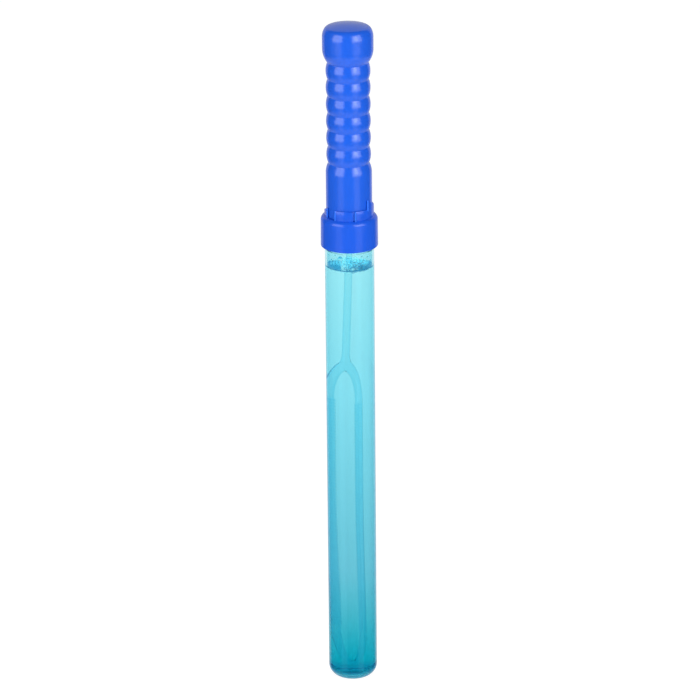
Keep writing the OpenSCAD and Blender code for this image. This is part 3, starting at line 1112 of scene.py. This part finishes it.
@dataclass
class Handle:
    """The hollow handle: sleeve, six finger rings, knob and two key ribs."""

    foot: float = 274.4
    sleeve_r: float = 12.55
    sleeve_h: float = 29.8
    sleeve_edge: float = 0.25
    sleeve_ring: float = 12.0
    shoulder_h: float = 5.6
    ring_n: int = 6
    ring_pitch: float = 9.42
    ring_r: float = 12.1
    groove_r: float = 11.1
    # How far up its sides a groove is rounded, and how far that lifts its bottom
    groove_reach: float = 0.4095
    groove_lift: float = 0.0875
    knob_r: float = 13.85
    knob_h: float = 21.2
    knob_under_h: float = 7.7
    knob_top_h: float = 6.9
    knob_brow_r: float = 8.0
    knob_brow_deg: float = 30.0
    knob_edge_r: float = 3.2
    wall: float = 1.4
    key_out: float = 0.76
    key_w: float = 0.65
    key_h: float = 4.9
    key_foot: float = 0.6
    key_deg: float = 72.2
    key_edge: float = 0.15

    def flank(self, wide: float, narrow: float, low: float, height: float, steps: int) -> Outline:
        """Points along an arc that leaves the radius wide upright and reaches the radius narrow.

        Args:
            wide: The radius at the start.
            narrow: The radius at the end.
            low: The level of its start.
            height: How far up its end is, or down if it is negative.
            steps: How many chords stand for it.

        Returns:
            The points, from wide to narrow.
        """
        bow = (height ** 2 + (wide - narrow) ** 2) / (2 * (wide - narrow))
        levels = [height * i / steps for i in range(steps + 1)]
        return [(wide - bow + math.sqrt(bow ** 2 - z ** 2), low + z) for z in levels]

    def side(self) -> Outline:
        """The handle's outer side from the foot to the top of the knob's flank.

        Returns:
            Radius and height above the foot of its points.
        """
        points = [(self.sleeve_r - self.sleeve_edge, 0), (self.sleeve_r, self.sleeve_edge)]
        points.append((self.sleeve_r, self.sleeve_ring))
        shoulder_z = self.sleeve_h - self.shoulder_h
        points += self.flank(self.sleeve_r, self.groove_r, shoulder_z, self.shoulder_h, RING_STEPS)
        half = self.ring_pitch / 2
        for ring in range(self.ring_n):
            middle = self.sleeve_h + (ring + 0.5) * self.ring_pitch
            points += self.flank(self.ring_r, self.groove_r, middle, -half, RING_STEPS)[-2::-1]
            points += self.flank(self.ring_r, self.groove_r, middle, half, RING_STEPS)[1:]
        knob_z = self.sleeve_h + self.ring_n * self.ring_pitch + self.knob_under_h
        points += self.flank(self.knob_r, self.groove_r, knob_z, -self.knob_under_h, BEND_STEPS)[-2::-1]
        return self.round_grooves(points)

    def round_grooves(self, points: Outline) -> Outline:
        """Replaces the sharp bottom of each groove by a small fillet.

        Args:
            points: The side's outline.

        Returns:
            The outline with its grooves rounded.
        """
        out = points[:1]
        for a, low, b in zip(points, points[1:], points[2:]):
            if a[0] > low[0] < b[0]:
                ends = [between(low, end, self.groove_reach / math.dist(low, end)) for end in (a, b)]
                out += [ends[0], (low[0] + self.groove_lift, low[1]), ends[1]]
            else:
                out.append(low)
        return out + points[-1:]

    def crest(self, inset: float) -> Outline:
        """The knob's top: a soft brow, a tighter edge and a shallow dome, each touching the next.

        Args:
            inset: How far inside the outer face it lies.

        Returns:
            Its points, from the side up to the axis.
        """
        top = self.sleeve_h + self.ring_n * self.ring_pitch + self.knob_h
        side_top = top - self.knob_top_h
        lean = math.radians(self.knob_brow_deg)
        step = self.knob_brow_r - self.knob_edge_r
        brow = (self.knob_r - self.knob_brow_r, side_top)
        edge = (brow[0] + step * math.cos(lean), brow[1] + step * math.sin(lean))
        rise = top - edge[1]
        dome_r = (edge[0] ** 2 + rise ** 2 - self.knob_edge_r ** 2) / (2 * (rise - self.knob_edge_r))
        touch = math.degrees(math.acos(edge[0] / (dome_r - self.knob_edge_r)))
        points = arc(brow, self.knob_brow_r - inset, 0, self.knob_brow_deg, BROW_STEPS)
        points += arc(edge, self.knob_edge_r - inset, self.knob_brow_deg, touch, ROUND_STEPS)[1:]
        return points + arc((0, top - dome_r), dome_r - inset, touch, 90, ROUND_STEPS)[1:]

    def outline(self) -> Outline:
        """The outline of the handle's wall, from the foot over the top and back inside.

        Returns:
            Radius and height of its points, in millimetres.
        """
        side, foot = self.side(), [(self.sleeve_r - self.wall, 0)]
        inner = [(r - self.wall, z) for r, z in side[2:]] + self.crest(self.wall)
        return [(r, z + self.foot) for r, z in foot + side + self.crest(0) + inner[::-1] + foot]

    def key(self, name: str, degrees: float) -> Object:
        """Makes one key rib on the foot of the sleeve.

        Args:
            name: The piece's name.
            degrees: The direction that it faces.

        Returns:
            The rib.
        """
        low, high = self.sleeve_r - self.wall / 2, self.sleeve_r + self.key_out
        clear_bench()
        bpy.ops.mesh.primitive_cube_add(size=MM, location=(0, 0, 0))
        obj = open_mesh(name_piece(name))
        bpy.ops.transform.resize(value=(high - low, self.key_w, self.key_h))
        middle = Vector(((low + high) / 2, 0, self.foot + self.key_foot + self.key_h / 2))
        bpy.ops.transform.translate(value=middle * MM)
        turn_mesh(math.radians(degrees))
        soften(obj, self.key_edge, 3)
        return shade(obj)

    def build(self, crown_turn: float) -> None:
        """Makes the handle and its key ribs.

        Args:
            crown_turn: The angle at which the crown's pattern starts, in degrees.
        """
        finish = PlasticFinish(
            "glossy_handle", colour=linear((22, 92, 219)), roughness=0.17, roughness_spread=0.06,
            specular=0.66, bump=0.15, bump_depth=0.12, flow_scale=90, grain_scale=1500, grain_share=0.1,
        )
        material = finish.material()
        grip = shade(lathe("handle_moulding", self.outline()))
        fit(grip, Body.HANDLE, Slot.HANDLE, material, "handle_grip")
        for name, half in (("key_rib_front", 0), ("key_rib_back", 180)):
            fit(self.key(name, crown_turn + self.key_deg + half), Body.HANDLE, Slot.HANDLE, material)


@dataclass
class Stopper:
    """The stopper in the handle's foot, with two sealing beads and a boss for the wand."""

    low: float = 262.0
    seat: float = 274.4
    radius: float = 11.0
    bead_r: float = 11.3
    bead_w: float = 1.2
    bead_round: float = 0.36
    bead_deg: float = 60.0
    bead_levels: tuple[float, ...] = (1.8, 5.0)
    wall: float = 1.4
    spigot_r: float = 11.11
    spigot_h: float = 9.0
    spigot_slope: float = 0.05
    boss_r: float = 4.5
    peg_r: float = 2.44
    peg_h: float = 9.04
    boss_cap: float = 1.2

    def outline(self) -> Outline:
        """The outline of the stopper, from the peg's socket round to its top.

        Returns:
            Radius and height of its points, in millimetres.
        """
        inner, half, bead = self.radius - self.wall, self.bead_w / 2, self.bead_round
        top = self.seat + self.spigot_h
        socket_top = self.low + self.peg_h
        points = [(0, socket_top), (self.peg_r, socket_top), (self.peg_r, self.low)]
        points += arc((self.radius - LIP, self.low + LIP), LIP, -90, 0, EDGE_STEPS)
        for level in self.bead_levels:
            middle = self.low + level
            crest = arc((self.bead_r - bead, middle), bead, -self.bead_deg, self.bead_deg, BEAD_STEPS)
            points += [(self.radius, middle - half), *crest, (self.radius, middle + half)]
        points += [(self.radius, self.seat), (self.spigot_r, self.seat + self.spigot_slope)]
        points += arc((self.spigot_r - LIP, top - LIP), LIP, 0, 90, LIP_STEPS)
        floor, boss_top = self.low + self.wall, socket_top + self.boss_cap
        points += [(inner, top), (inner, floor), (self.boss_r, floor)]
        return points + [(self.boss_r, boss_top), (0, boss_top)]

    def build(self) -> None:
        """Makes the stopper."""
        finish = PlasticFinish(
            "stopper_plastic", colour=linear((28, 92, 226)), roughness=0.32, specular=0.4,
            bump=0.1, bump_depth=0.05, grain_scale=4200, grain_share=0.8,
        )
        stopper = shade(lathe("stopper_plug", self.outline()))
        fit(stopper, Body.HANDLE, Slot.COLLAR, finish.material(), "stopper")


@dataclass
class Wand:
    """The clear wand: peg, stem, fork and the long ridged loop."""

    tip: float = 6.0
    length: float = 183.5
    half_w: float = 8.595
    rim_w: float = 2.7
    rim_t: float = 2.4
    edge: float = 0.3
    # The two slopes that round an edge, as shares of its width and its depth
    edge_slopes: Table = ((0.3, 0.7), (0.7, 0.3))
    bow: float = 23.0
    web: float = 5.6
    bow_steps: int = 20
    ridge_pitch: float = 1.85
    ridge_w: float = 0.9
    ridge_h: float = 0.55
    ridge_slope: float = 0.12
    # Colour of the painted shade in bands at the ridges' heights
    ridge_shade_colour: Colour = (0.3, 0.78, 0.92)
    fork_lean: float = 2.43
    tip_lean: float = 0.54
    bend_share: float = 0.6
    stem_r: float = 1.55
    peg_r: float = 2.4
    peg_h: float = 9.0
    stem_top: float = 262.0
    stem_soft: float = 0.2
    stem_neck: float = 0.6
    stem_sides: int = 32
    fork_h: float = 4.0
    # The fork's flare: half width, half thickness, height, and how late it widens
    flare_w: float = 4.2975
    flare_t: float = 1.1
    flare_h: float = 7.5
    flare_bend: float = 1.6
    smooth_angle: float = math.radians(40)

    def lean(self, z: float) -> float:
        """How far the loop's middle stands off the axis at height z, in millimetres."""
        share = max(0.0, min(1.0, (z - self.tip) / (self.length * self.bend_share)))
        return self.tip_lean + (self.fork_lean - self.tip_lean) * (1 - math.cos(math.pi * share)) / 2

    def loop(self, x: float, low: float, high: float, ridge: float) -> list[Vector]:
        """The closed outline of the loop at one side of its rim.

        Args:
            x: Its half width.
            low: Its lowest point.
            high: Its highest point.
            ridge: How far the ridges stand in from its legs.

        Returns:
            The outline's points in metres, in the XZ plane, with the first one once more at the end.
        """
        angles = [math.pi / 2 * i / self.bow_steps for i in range(self.bow_steps + 1)]
        low_bow = self.tip + self.bow - low
        high_bow = high - self.tip - self.length + self.bow
        half = [(x * math.sin(a), low + low_bow * (1 - math.cos(a))) for a in angles[:-1]]
        foot, crest = self.ridge_w / 2 + self.ridge_slope, self.ridge_w / 2 - self.ridge_slope
        for i in range(int((self.length - 2 * self.bow) / self.ridge_pitch)):
            middle = self.tip + self.bow + (i + 0.5) * self.ridge_pitch
            for z, out in ((-foot, 0), (-crest, 1), (crest, 1), (foot, 0)):
                half.append((x - ridge * out, middle + z))
        half += [(x * math.cos(a), high - high_bow * (1 - math.sin(a))) for a in angles[1:]]
        points = half + [(-r, z) for r, z in half[-2:0:-1]] + half[:1]
        return [Vector((r - self.lean(z), self.edge - self.rim_t / 2, z)) * MM for r, z in points]

    def rim(self) -> Object:
        """Makes the flat loop with its ridges and rounds its edges.

        Returns:
            The loop.
        """
        top = self.tip + self.length
        outer = self.loop(self.half_w, self.tip, top, 0)
        inner = self.loop(self.half_w - self.rim_w, self.tip + self.rim_w, top - self.web, self.ridge_h)
        loops = [draw_line("wand_outer", outer), draw_line("wand_inner", inner)]
        obj = open_mesh(merge("wand_loop", loops))
        bpy.ops.mesh.remove_doubles(threshold=WELD)
        bpy.ops.mesh.select_mode(type="EDGE")
        bpy.ops.mesh.select_all(action="SELECT")
        bpy.ops.mesh.bridge_edge_loops()
        bpy.ops.mesh.select_all(action="SELECT")
        depth = (self.rim_t - 2 * self.edge) * MM
        bpy.ops.mesh.extrude_region_move(TRANSFORM_OT_translate={"value": (0, depth, 0)})
        tidy_mesh()
        for side in (-1, 1):
            self.round_face(obj, side)
        return obj

    def round_face(self, obj: Object, side: int) -> None:
        """Rounds the edges of one flat face of the loop by two narrow slopes.

        Args:
            obj: The loop.
            side: -1 for the face towards -Y and 1 for the other.
        """
        open_mesh(obj)
        bpy.ops.mesh.select_mode(type="FACE")
        bpy.ops.mesh.select_all(action="DESELECT")
        bpy.ops.object.mode_set(mode="OBJECT")
        for face in obj.data.polygons:
            face.select = face.normal.y * side > FLAT
        bpy.ops.object.mode_set(mode="EDIT")
        for width, depth in self.edge_slopes:
            bpy.ops.mesh.inset(
                thickness=width * self.edge * MM, depth=depth * self.edge * MM,
                use_boundary=True, use_even_offset=True,
            )
        bpy.ops.object.mode_set(mode="OBJECT")

    def rings(self) -> list[tuple[float, float, float, float]]:
        """The stem's rings, from the top of the peg down to the foot of the flared fork.

        Returns:
            Height, distance from the axis, half width and half thickness of each.
        """
        fork, soft, thin = self.tip + self.length + self.fork_h, self.stem_soft, self.stem_r
        rings = [
            (self.stem_top + up, 0, r, r) for up, r in (
                (self.peg_h, self.peg_r), (self.peg_h - soft, self.peg_r), (soft, self.peg_r),
                (0, thin + soft), (-self.stem_neck, thin),
            )
        ]
        for i in range(1, RING_STEPS + 1):
            share = i / RING_STEPS
            z = self.stem_top + (fork - self.stem_top) * share
            rings.append((z, self.fork_lean * share, thin, thin))
        for i in range(1, BROW_STEPS + 1):
            share = i / BROW_STEPS
            wide = thin + (self.flare_w - thin) * share ** self.flare_bend
            thick = thin + (self.flare_t - thin) * share
            rings.append((fork - self.flare_h * share, self.fork_lean, wide, thick))
        return rings

    def stem(self) -> Object:
        """Makes the stem with its peg and its flared fork.

        Returns:
            The stem.
        """
        rings = self.rings()
        clear_bench()
        bpy.ops.mesh.primitive_circle_add(
            vertices=self.stem_sides, radius=self.peg_r * MM, location=(0, 0, 0), fill_type="NGON",
        )
        obj = open_mesh(name_piece("wand_stem"))
        bpy.ops.transform.translate(value=(0, 0, rings[0][0] * MM))
        for last, (z, lean, wide, thick) in zip(rings, rings[1:]):
            step = ((last[1] - lean) * MM, 0, (z - last[0]) * MM)
            bpy.ops.mesh.extrude_region_move(TRANSFORM_OT_translate={"value": step})
            grow = (wide / last[2], thick / last[3], 1)
            bpy.ops.transform.resize(value=grow, center_override=(-lean * MM, 0, z * MM))
        tidy_mesh()
        clear_bench()
        return obj

    def build(self) -> None:
        """Makes the wand in one moulding."""
        loop, stem = self.rim(), self.stem()
        apply_modifier(loop, "BOOLEAN", operation="UNION", solver="EXACT", object=stem)
        bpy.data.objects.remove(stem)
        pick(loop)
        name_piece("wand_moulding")
        shade(loop, self.smooth_angle)
        finish = ClearFinish(
            "clear_wand", ior=1.06, colour=(0.76, 0.955, 0.99), rim=(0.3, 0.74, 0.87), rim_blend=0.3,
            roughness=0.18, bump=0.1, flow_scale=120,
        )
        # The ridges get painted shade: darker bands on the faces towards -Y at their heights
        ends = (self.tip + self.bow, self.tip + self.length - self.bow)
        tint = painted_ridge_shade_group("painted_ridge_shade", finish.colour, self.ridge_shade_colour, self.ridge_pitch, ends)
        fit(loop, Body.HANDLE, Slot.WAND, finish.material(tint), "wand")


@dataclass
class SealWasher:
    """The foamed liner between the neck's rim and the collar."""

    def build(self, frame: dict) -> None:
        """Dresses the liner, which the frame already shows in its right shape.

        Args:
            frame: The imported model.
        """
        finish = PlasticFinish(
            "foam_liner", colour=linear((236, 238, 236)), roughness=0.7, roughness_spread=0.1,
            specular=0.3, bump=0.5, bump_depth=0.15, grain_scale=3500, grain_share=0.9,
        )
        node = frame["nodes"]["seal_washer"]
        node.data.materials.clear()
        node.data.materials.append(finish.material())
        LOG.info("seal_washer rides on %s", Body.SEAL.value)


@dataclass
class Studio:
    """A white floor, a white surround, the soft boxes and the camera."""

    aim_z: float = 0.1953
    distance: float = 2.357
    elevation: float = math.radians(20.7)
    roll: float = math.radians(0.5)
    aside: float = 0.0002
    lens: float = 220.2
    film_w: float = 36
    floor_size: float = 12.0
    # The floor: what it throws back to light the part, and what it throws back and adds for the eye
    floor_lit: float = 0.9
    floor_faint: float = 0.2
    floor_glow: float = 0.93
    # The surround's radiance: mean, and in gloss that of the dim front, the white back and the table
    ambient: float = 0.29
    dark: float = 0.1
    back: float = 0.85
    table: float = 0.9
    # Where the back and the table begin and are full, by how far a direction points to the camera or up
    back_edge: Point = (-0.55, -0.7)
    table_edge: Point = (-0.4, -0.65)
    box_reach: float = 1.0
    bounces: int = 40
    glossy_bounces: int = 20
    clear_bounces: int = 32
    # Direction right of the camera in degrees, width, height, level of the middle and radiance. The
    # last two are the dim light that the table in front throws back below the boxes.
    boxes: Table = (
        (-48, 0.85, 1.0, 0.65, 2.8), (42, 0.85, 1.0, 0.65, 2.6), (38, 0.3, 0.6, 0.65, 3.0),
        (-42, 0.5, 0.6, -0.18, 0.5), (40, 0.5, 0.6, -0.18, 0.6),
    )

    def camera(self) -> None:
        """Places the camera at the photograph's viewing angle."""
        data = bpy.data.cameras.new("camera")
        data.lens = self.lens
        data.sensor_width = self.film_w
        camera = bpy.data.objects.new("camera", data)
        bpy.context.scene.collection.objects.link(camera)
        flat = math.cos(self.elevation) * self.distance
        camera.location = (
            flat * math.cos(CAMERA_TURN) + self.aside * math.sin(CAMERA_TURN),
            flat * math.sin(CAMERA_TURN) - self.aside * math.cos(CAMERA_TURN),
            self.aim_z + math.sin(self.elevation) * self.distance,
        )
        quarter = math.pi / 2
        camera.rotation_euler = Euler((quarter - self.elevation, 0, CAMERA_TURN + quarter), "XYZ")
        camera.rotation_euler.rotate_axis("Z", -self.roll)
        bpy.context.scene.camera = camera

    def floor(self) -> None:
        """Lays a floor that shows white and keeps a soft shadow."""
        clear_bench()
        bpy.ops.mesh.primitive_plane_add(size=self.floor_size, location=(0, 0, 0))
        floor = name_piece("floor")
        floor.select_set(False)
        material, tree, _ = new_material("white_floor")
        tree.nodes.clear()
        lit, faint = (
            add_node(tree, "BsdfDiffuse", {"Color": (grey, grey, grey)}).outputs[0]
            for grey in (self.floor_lit, self.floor_faint)
        )
        glow = add_node(tree, "Emission", {"Strength": self.floor_glow}).outputs[0]
        white = add_node(tree, "AddShader", {0: faint, 1: glow}).outputs[0]
        surface = add_node(tree, "MixShader", {0: seen_share(tree), 1: lit, 2: white}).outputs[0]
        add_node(tree, "OutputMaterial", {"Surface": surface})
        floor.data.materials.append(material)
        floor.visible_glossy = False
        floor.visible_shadow = False

    def surround(self) -> None:
        """Lights the world.

        It is white to the eye and through glass, and in gloss it has a white back, a dim front and a
        bright table. Everything else is lit by a gradient from below to above.
        """
        world = bpy.data.worlds.new("studio")
        bpy.context.scene.world = world
        world.use_nodes = True
        tree = world.node_tree
        tree.nodes.clear()
        place = add_node(tree, "TexCoord").outputs["Generated"]
        level = add_node(tree, "SeparateXYZ", {0: place}).outputs["Z"]
        facing = add_node(tree, "VectorMath", {0: place, 1: ray(CAMERA_TURN)}, operation="DOT_PRODUCT")
        back = fade(tree, facing.outputs["Value"], self.back_edge, (self.dark, self.back))
        table = fade(tree, level, self.table_edge, (0, self.table))
        last = fade(tree, level, (-1, 1), (0, 2 * self.ambient), "LINEAR")
        glossy = add_node(tree, "LightPath").outputs["Is Glossy Ray"]
        for share, light in ((glossy, calc(tree, "MAXIMUM", back, table)), (seen_share(tree), 1)):
            mixed = add_node(tree, "Mix", {"Factor": share, "A": last, "B": light}, data_type="FLOAT")
            last = mixed.outputs["Result"]
        light = add_node(tree, "Background", {"Strength": last}).outputs[0]
        add_node(tree, "OutputWorld", {"Surface": light})

    def lamps(self) -> None:
        """Hangs the soft boxes."""
        for i, (degrees, width, height, level, radiance) in enumerate(self.boxes):
            turn = CAMERA_TURN + math.radians(degrees)
            data = bpy.data.lights.new(f"soft_box_{i}", "AREA")
            data.shape = "RECTANGLE"
            data.size, data.size_y = width, height
            data.energy = radiance * math.pi * width * height
            lamp = bpy.data.objects.new(data.name, data)
            bpy.context.scene.collection.objects.link(lamp)
            lamp.location = (self.box_reach * math.cos(turn), self.box_reach * math.sin(turn), level)
            lamp.rotation_euler = Euler((math.pi / 2, 0, turn + math.pi / 2), "XYZ")
            lamp.visible_camera = False
            lamp.visible_transmission = False

    def build(self) -> None:
        """Sets up the whole studio."""
        self.camera()
        self.floor()
        self.surround()
        self.lamps()
        scene = bpy.context.scene
        scene.view_settings.view_transform = "Standard"
        scene.cycles.max_bounces = self.bounces
        scene.cycles.glossy_bounces = self.glossy_bounces
        scene.cycles.transmission_bounces = self.clear_bounces


def main() -> None:
    """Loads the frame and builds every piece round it."""
    logging.basicConfig(level=logging.INFO, format="%(message)s")
    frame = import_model()
    tube = Tube()
    collar = ScrewCollar(tube)
    tube.build()
    Solution(tube).build()
    collar.build()
    SealWasher().build(frame)
    Handle().build(collar.crown_turn)
    for part in (Stopper(), Wand(), Studio()):
        part.build()


if __name__ == "__main__":
    main()
